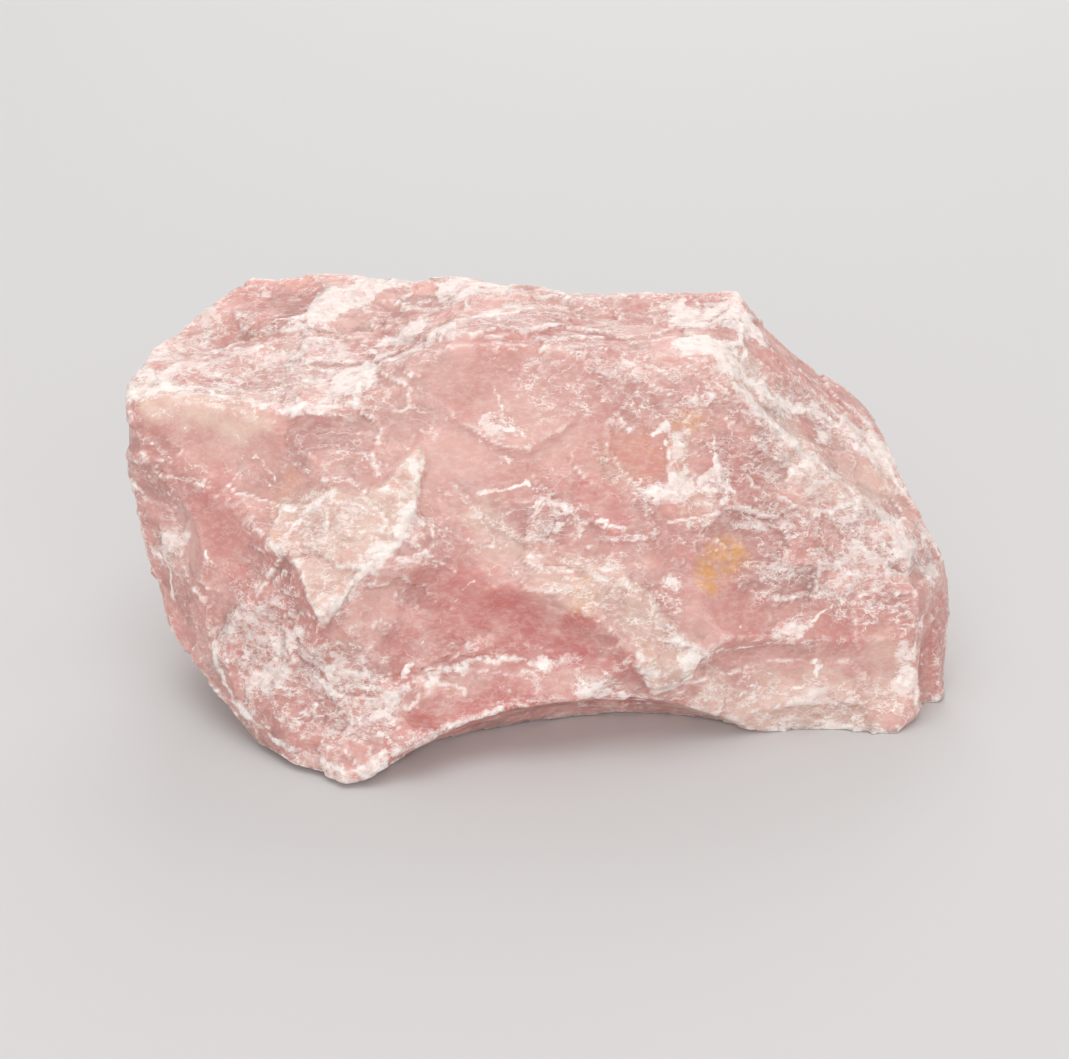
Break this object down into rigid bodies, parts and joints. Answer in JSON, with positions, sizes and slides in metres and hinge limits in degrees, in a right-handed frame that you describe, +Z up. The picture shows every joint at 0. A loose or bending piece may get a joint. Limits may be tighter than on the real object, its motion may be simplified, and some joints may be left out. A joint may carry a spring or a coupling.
{
  "type": "rose quartz chunk",
  "caption": "Rough, unpolished chunk of rose quartz with broken faces, shallow conchoidal scars and a flat underside that it rests on.",
  "frame": {"origin": "middle of the stone's box, seen from above, at the height of the surface it rests on", "axes": "+X along the stone's length, towards its lower end; +Z up; -Y out of the broken face that is shown to the viewer"},
  "size_m": [0.152, 0.073, 0.0724],
  "materials": {
    "rose_quartz": "rough broken surface, slightly translucent pink with white fractures"
  },
  "bodies": {
    "root": {"rose_quartz_chunk": "rose_quartz"}
  },
  "joints": []
}
